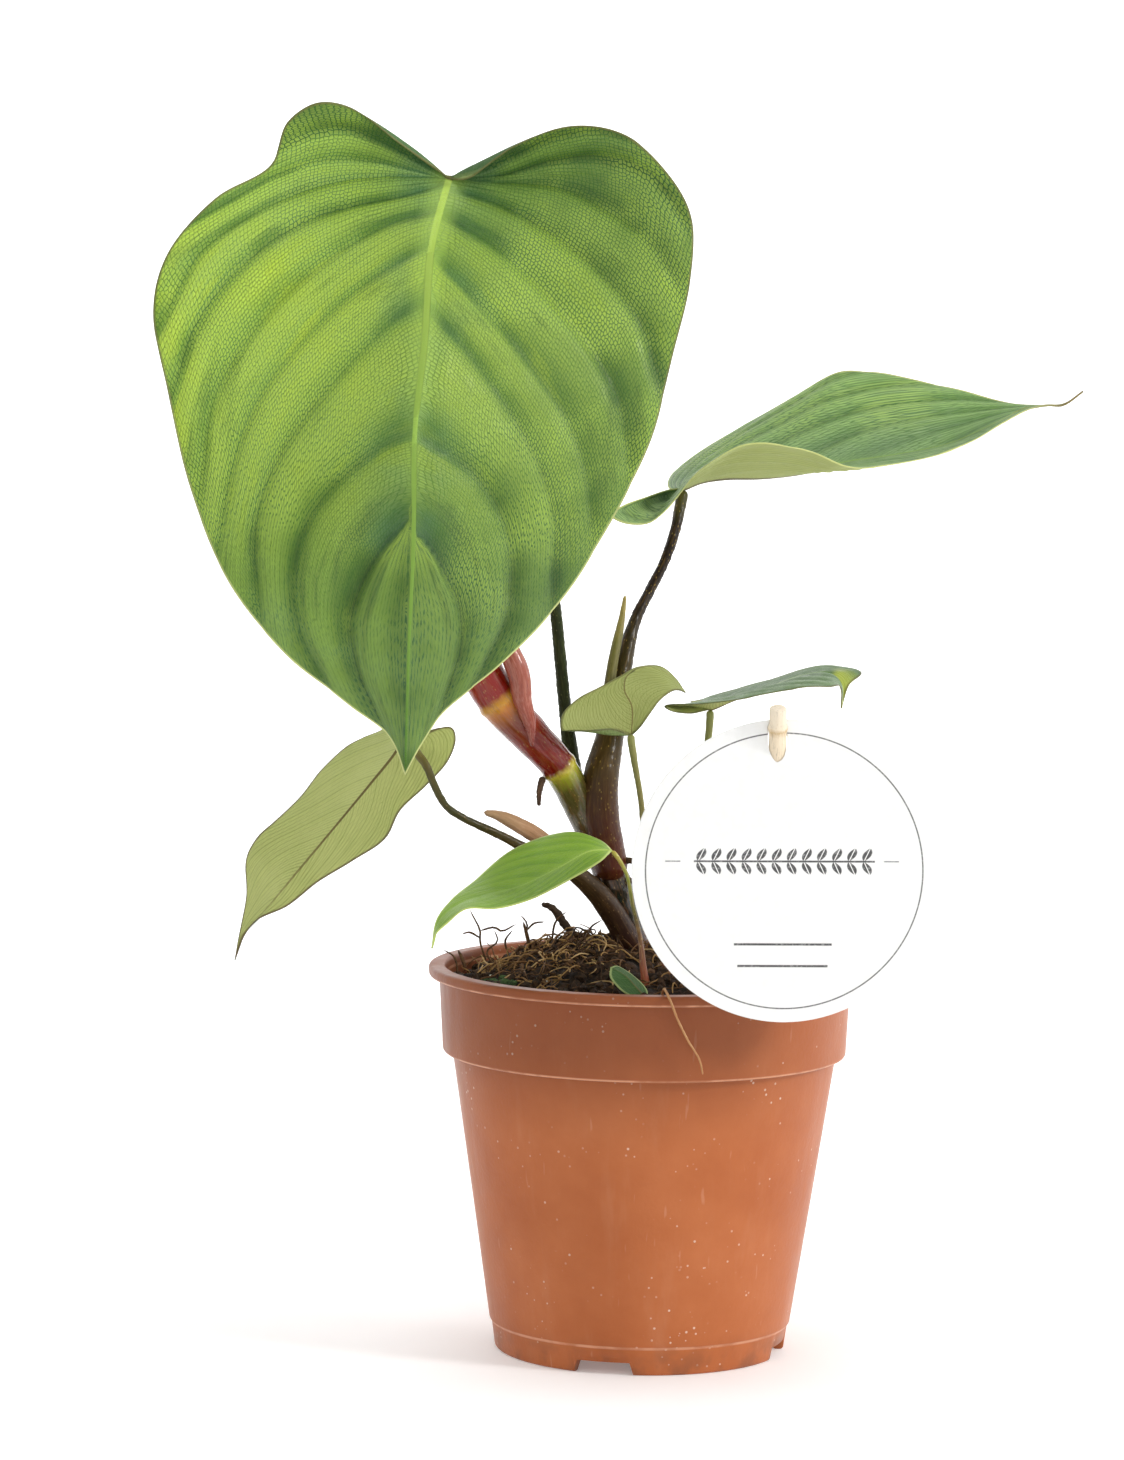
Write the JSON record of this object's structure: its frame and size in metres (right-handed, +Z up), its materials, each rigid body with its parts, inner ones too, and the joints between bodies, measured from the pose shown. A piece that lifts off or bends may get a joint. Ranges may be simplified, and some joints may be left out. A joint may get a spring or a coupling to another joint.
{
  "type": "potted philodendron",
  "caption": "Young climbing plant with heart-shaped pleated leaves in a tapered nursery pot of soil, with a round card tag on a stick.",
  "frame": {"origin": "on the pot's axis, at the level of the surface that the pot's foot ring stands on; the leaves spread almost evenly to both sides of it", "axes": "+Z up along the pot's axis; the large leaf and the tag face -Y; +X to the right as seen from there"},
  "size_m": [0.2583, 0.1929, 0.3424],
  "materials": {
    "pot_plastic": "semi-matt terracotta plastic, slightly dusty",
    "peat_soil": "moist peat with coir fibres",
    "root_tan": "pale tan living root",
    "stem_skin": "smooth red to olive stem",
    "cataphyll_skin": "thin pink-red sheath leaf",
    "red_stalk": "reddish smooth stalk",
    "dark_stalk": "dark green rough stalk",
    "brown_stalk": "brown-olive rough stalk",
    "olive_stalk": "thin olive stalk",
    "mature_leaf": "satin green leaf, pleated along its veins",
    "sage_leaf": "pale sage leaf underside with a dark margin",
    "young_leaf": "bright light green young leaf",
    "sprout_leaf": "dark green leaf with a pale edge",
    "root_brown": "dark brown aerial root",
    "bark": "dark loose twig",
    "tag_card": "coated white card",
    "bamboo": "pale bamboo"
  },
  "bodies": {
    "root": {"nursery_pot": "pot_plastic", "potting_soil": "peat_soil", "root_clump": "root_tan", "main_stem": "stem_skin", "red_cataphyll": "cataphyll_skin", "basal_shoot": "red_stalk", "large_leaf_stalk": "dark_stalk", "right_leaf_stalk": "brown_stalk", "left_leaf_stalk": "brown_stalk", "young_leaf_stalk": "red_stalk", "centre_leaf_stalk": "olive_stalk", "side_leaf_stalk": "olive_stalk", "large_leaf_blade": "mature_leaf", "right_leaf_blade": "mature_leaf", "left_leaf_blade": "sage_leaf", "young_leaf_blade": "young_leaf", "centre_leaf_blade": "sage_leaf", "side_leaf_blade": "mature_leaf", "sprout_leaf": "sprout_leaf", "aerial_root_1": "root_brown", "aerial_root_2": "root_brown", "aerial_root_3": "root_brown", "aerial_root_4": "root_brown", "trailing_root": "root_tan", "bark_twig": "bark", "name_tag": "tag_card", "tag_stick": "bamboo"}
  },
  "joints": []
}
